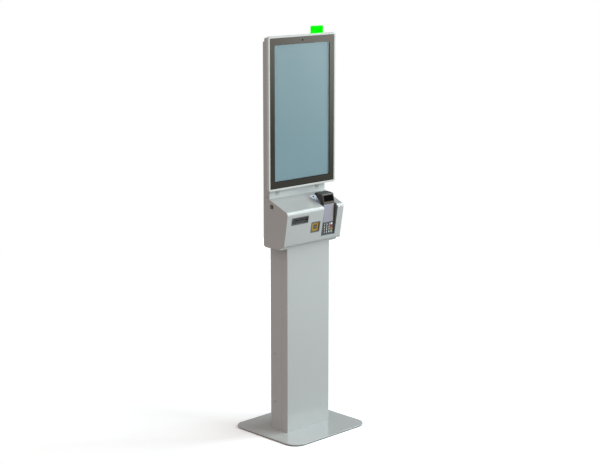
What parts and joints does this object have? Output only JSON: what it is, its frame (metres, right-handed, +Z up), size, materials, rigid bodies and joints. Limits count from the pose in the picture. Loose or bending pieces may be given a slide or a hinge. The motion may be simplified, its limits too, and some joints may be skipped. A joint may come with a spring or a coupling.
{
  "type": "self-ordering kiosk",
  "caption": "Free-standing self-ordering kiosk: portrait touch screen on a slim column above a hinged hood with a receipt outlet, code scanner and payment terminal.",
  "frame": {"origin": "middle of the base's footprint, on the floor", "axes": "+Z up, the customer stands on the -Y side, +X to the customer's right"},
  "size_m": [0.47, 0.42, 1.8365],
  "materials": {
    "painted_steel": "satin",
    "frame_white": "satin",
    "bare_steel": "satin",
    "plated_metal": "polished",
    "cast_aluminium": "satin",
    "black_aluminium": "satin",
    "black_rubber": "matt",
    "cover_glass": "polished",
    "display": "gloss",
    "black_plastic": "matt",
    "terminal_grey": "satin",
    "terminal_black": "gloss",
    "terminal_screen": "gloss",
    "scan_yellow": "satin",
    "scan_window": "gloss",
    "cradle_blue": "satin",
    "gear_ivory": "matt",
    "paper": "matt",
    "light_green": "satin",
    "key_dark": "matt",
    "key_white": "matt",
    "key_red": "matt",
    "key_yellow": "matt",
    "key_green": "matt"
  },
  "bodies": {
    "stand": {"base_plate": "painted_steel", "column_front_cover": "painted_steel", "column_rear_cover": "painted_steel", "tray": "painted_steel", "spine_body": "painted_steel", "spine_back_cover": "painted_steel", "monitor_housing": "painted_steel", "monitor_frame": "frame_white", "lower_brackets": "frame_white", "column_frame": "bare_steel", "pan_screws": "bare_steel", "hinge_tray_leaf": "bare_steel", "hinge_pin": "bare_steel", "printer_frame": "bare_steel", "power_supply": "cast_aluminium", "thermal_head": "cast_aluminium", "computer_module": "black_aluminium", "base_underlay": "black_rubber", "cover_glass": "cover_glass", "lcd_panel": "display", "power_inlet": "black_plastic", "camera_module": "black_plastic", "printer_motor": "black_plastic", "light_lens": "light_green"},
    "hood": {"hood_shell": "painted_steel", "hinge_hood_leaf": "bare_steel", "printer_bezel": "black_plastic", "scanner_housing": "black_plastic", "scanner_ring": "scan_yellow", "scanner_window": "scan_window", "terminal_cradle": "cradle_blue", "terminal_body": "terminal_grey", "terminal_head": "terminal_grey", "terminal_window": "terminal_black", "terminal_display": "terminal_screen", "key_mat": "black_rubber", "lock_barrel": "plated_metal"},
    "lock": {"lock_plug": "plated_metal", "lock_cam": "plated_metal"},
    "platen": {"platen_roller": "black_rubber", "platen_gear": "gear_ivory"},
    "pinion": {"motor_pinion": "bare_steel"},
    "roll": {"paper_roll": "paper"},
    "cutter": {"cutter_blade": "bare_steel"},
    "key_1": {"key_1": "key_dark"},
    "key_2": {"key_2": "key_dark"},
    "key_3": {"key_3": "key_dark"},
    "key_4": {"key_4": "key_dark"},
    "key_5": {"key_5": "key_dark"},
    "key_6": {"key_6": "key_dark"},
    "key_7": {"key_7": "key_dark"},
    "key_8": {"key_8": "key_dark"},
    "key_9": {"key_9": "key_dark"},
    "key_star": {"key_star": "key_dark"},
    "key_0": {"key_0": "key_dark"},
    "key_hash": {"key_hash": "key_dark"},
    "key_menu": {"key_menu": "key_white"},
    "key_cancel": {"key_cancel": "key_red"},
    "key_clear": {"key_clear": "key_yellow"},
    "key_enter": {"key_enter": "key_green"}
  },
  "joints": [
    {"name": "hood_open", "type": "hinge", "parent": "stand", "child": "hood", "pos_m": [0, -0.07239, 0.88573], "axis": [1, 0, 0], "range_deg": [0, 75]},
    {"name": "lock_turn", "type": "hinge", "parent": "hood", "child": "lock", "pos_m": [-0.168, 0, 1.05459], "axis": [-1, 0, 0], "range_deg": [0, 90]},
    {"name": "roll_spin", "type": "hinge", "parent": "stand", "child": "roll", "pos_m": [-0.095, -0.0185, 0.9275], "axis": [1, 0, 0], "continuous": true},
    {"name": "platen_spin", "type": "hinge", "parent": "stand", "child": "platen", "pos_m": [-0.095, -0.05789, 0.99172], "axis": [1, 0, 0], "continuous": true},
    {"name": "pinion_spin", "type": "hinge", "parent": "stand", "child": "pinion", "pos_m": [-0.046, -0.05789, 0.96672], "axis": [1, 0, 0], "continuous": true},
    {"name": "cutter_rise", "type": "slide", "parent": "stand", "child": "cutter", "axis": [0, 0, 1], "range_m": [0, 0.008]},
    {"name": "press_1", "type": "slide", "parent": "hood", "child": "key_1", "axis": [0, 0.9969, 0.0785], "range_m": [0, 0.001], "stiffness_N_per_m": 1500},
    {"name": "press_2", "type": "slide", "parent": "hood", "child": "key_2", "axis": [0, 0.9969, 0.0785], "range_m": [0, 0.001], "stiffness_N_per_m": 1500},
    {"name": "press_3", "type": "slide", "parent": "hood", "child": "key_3", "axis": [0, 0.9969, 0.0785], "range_m": [0, 0.001], "stiffness_N_per_m": 1500},
    {"name": "press_4", "type": "slide", "parent": "hood", "child": "key_4", "axis": [0, 0.9969, 0.0785], "range_m": [0, 0.001], "stiffness_N_per_m": 1500},
    {"name": "press_5", "type": "slide", "parent": "hood", "child": "key_5", "axis": [0, 0.9969, 0.0785], "range_m": [0, 0.001], "stiffness_N_per_m": 1500},
    {"name": "press_6", "type": "slide", "parent": "hood", "child": "key_6", "axis": [0, 0.9969, 0.0785], "range_m": [0, 0.001], "stiffness_N_per_m": 1500},
    {"name": "press_7", "type": "slide", "parent": "hood", "child": "key_7", "axis": [0, 0.9969, 0.0785], "range_m": [0, 0.001], "stiffness_N_per_m": 1500},
    {"name": "press_8", "type": "slide", "parent": "hood", "child": "key_8", "axis": [0, 0.9969, 0.0785], "range_m": [0, 0.001], "stiffness_N_per_m": 1500},
    {"name": "press_9", "type": "slide", "parent": "hood", "child": "key_9", "axis": [0, 0.9969, 0.0785], "range_m": [0, 0.001], "stiffness_N_per_m": 1500},
    {"name": "press_star", "type": "slide", "parent": "hood", "child": "key_star", "axis": [0, 0.9969, 0.0785], "range_m": [0, 0.001], "stiffness_N_per_m": 1500},
    {"name": "press_0", "type": "slide", "parent": "hood", "child": "key_0", "axis": [0, 0.9969, 0.0785], "range_m": [0, 0.001], "stiffness_N_per_m": 1500},
    {"name": "press_hash", "type": "slide", "parent": "hood", "child": "key_hash", "axis": [0, 0.9969, 0.0785], "range_m": [0, 0.001], "stiffness_N_per_m": 1500},
    {"name": "press_menu", "type": "slide", "parent": "hood", "child": "key_menu", "axis": [0, 0.9969, 0.0785], "range_m": [0, 0.001], "stiffness_N_per_m": 1500},
    {"name": "press_cancel", "type": "slide", "parent": "hood", "child": "key_cancel", "axis": [0, 0.9969, 0.0785], "range_m": [0, 0.001], "stiffness_N_per_m": 1500},
    {"name": "press_clear", "type": "slide", "parent": "hood", "child": "key_clear", "axis": [0, 0.9969, 0.0785], "range_m": [0, 0.001], "stiffness_N_per_m": 1500},
    {"name": "press_enter", "type": "slide", "parent": "hood", "child": "key_enter", "axis": [0, 0.9969, 0.0785], "range_m": [0, 0.001], "stiffness_N_per_m": 1500}
  ],
  "couplings": [
    {"joint": "platen_spin", "follows": "roll_spin", "ratio": 5.6667},
    {"joint": "pinion_spin", "follows": "roll_spin", "ratio": -14.571}
  ]
}
